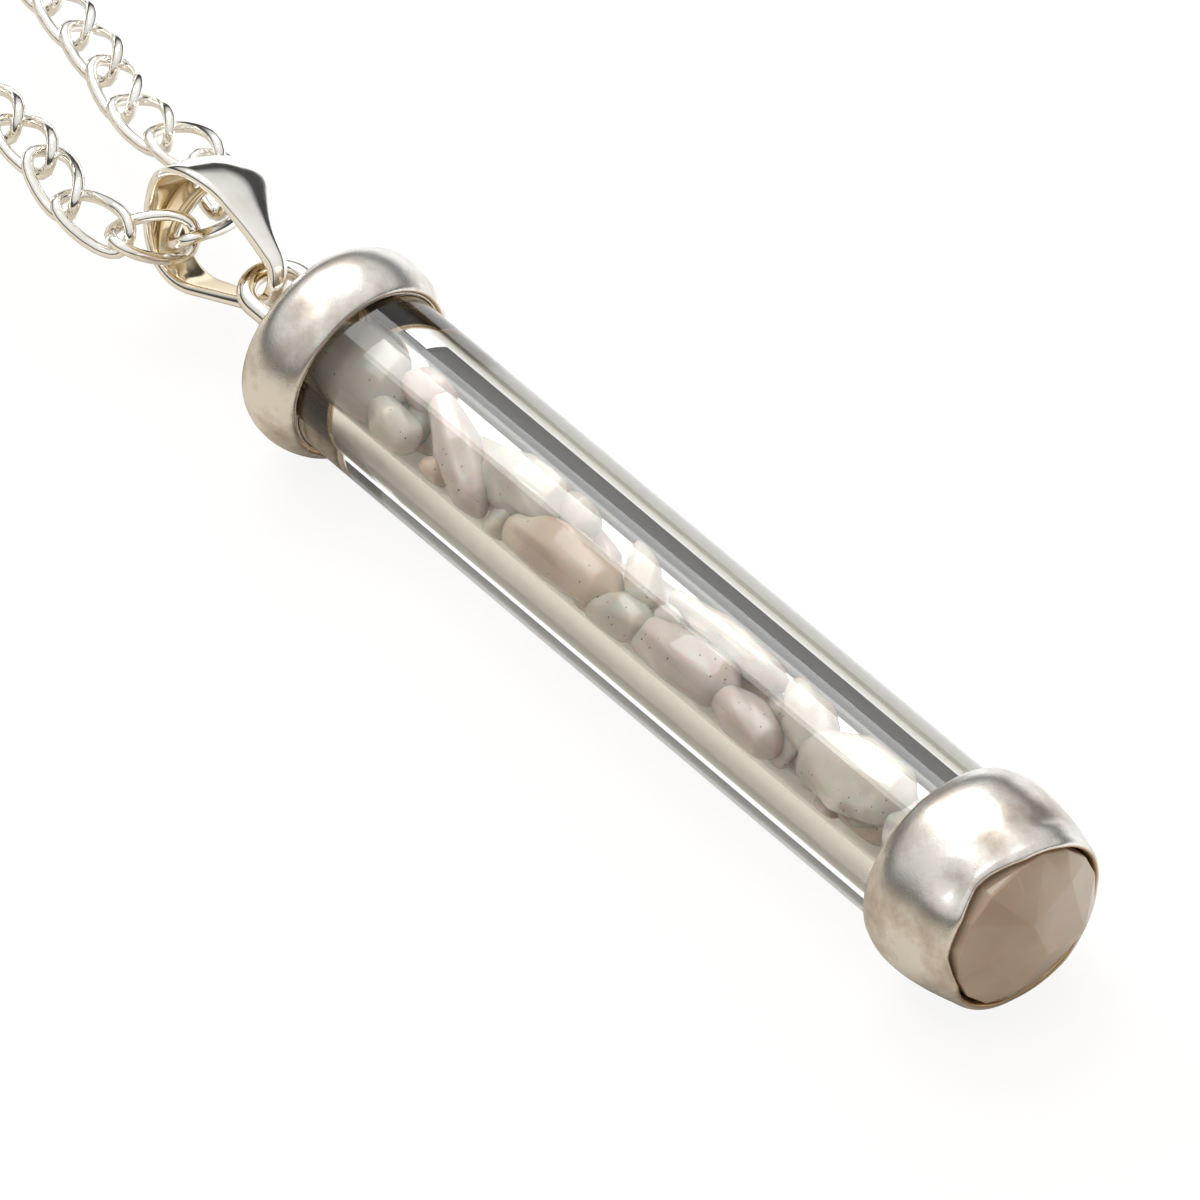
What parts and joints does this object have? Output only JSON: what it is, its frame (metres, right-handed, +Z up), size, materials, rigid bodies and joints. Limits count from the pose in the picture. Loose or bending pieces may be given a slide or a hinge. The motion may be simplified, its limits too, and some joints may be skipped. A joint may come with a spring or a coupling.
{
  "type": "bottle pendant",
  "caption": "Glass tube pendant filled with stone chips, between two silver caps with a set stone and a hanging ring, on a bail and a closed curb chain.",
  "frame": {"origin": "on the surface that the necklace lies on, under the middle of its box; the pendant's axis is 5 mm above it, parallel to Y, at x = -22.1 mm, and the top cap's rim is at y = -64.4 mm", "axes": "+Z up from the surface; +Y from the set stone past the hanging ring to the clasp; +X across the chain loop"},
  "size_m": [0.0896, 0.2186, 0.01],
  "materials": {
    "glass": "clear, polished",
    "cap_silver": "worn silver, satin, a little tarnished",
    "bail_silver": "polished silver",
    "chain_silver": "polished silver",
    "set_stone": "polished, cut with facets",
    "chip_stone": "tumbled, translucent"
  },
  "bodies": {
    "root": {"glass_tube": "glass", "top_cap": "cap_silver", "stone_cap": "cap_silver", "end_stone": "set_stone", "bail": "bail_silver", "chip_01": "chip_stone", "chip_02": "chip_stone", "chip_03": "chip_stone", "chip_04": "chip_stone", "chip_05": "chip_stone", "chip_06": "chip_stone", "chip_07": "chip_stone", "chip_08": "chip_stone", "chip_09": "chip_stone", "chip_10": "chip_stone", "chip_11": "chip_stone", "chip_12": "chip_stone", "chip_13": "chip_stone", "chip_14": "chip_stone", "chip_15": "chip_stone", "chip_16": "chip_stone", "chip_17": "chip_stone", "chip_18": "chip_stone", "chip_19": "chip_stone", "chip_20": "chip_stone", "chip_21": "chip_stone", "chip_22": "chip_stone", "chain_near": "chain_silver", "chain_far": "chain_silver", "clasp": "chain_silver"}
  },
  "joints": []
}
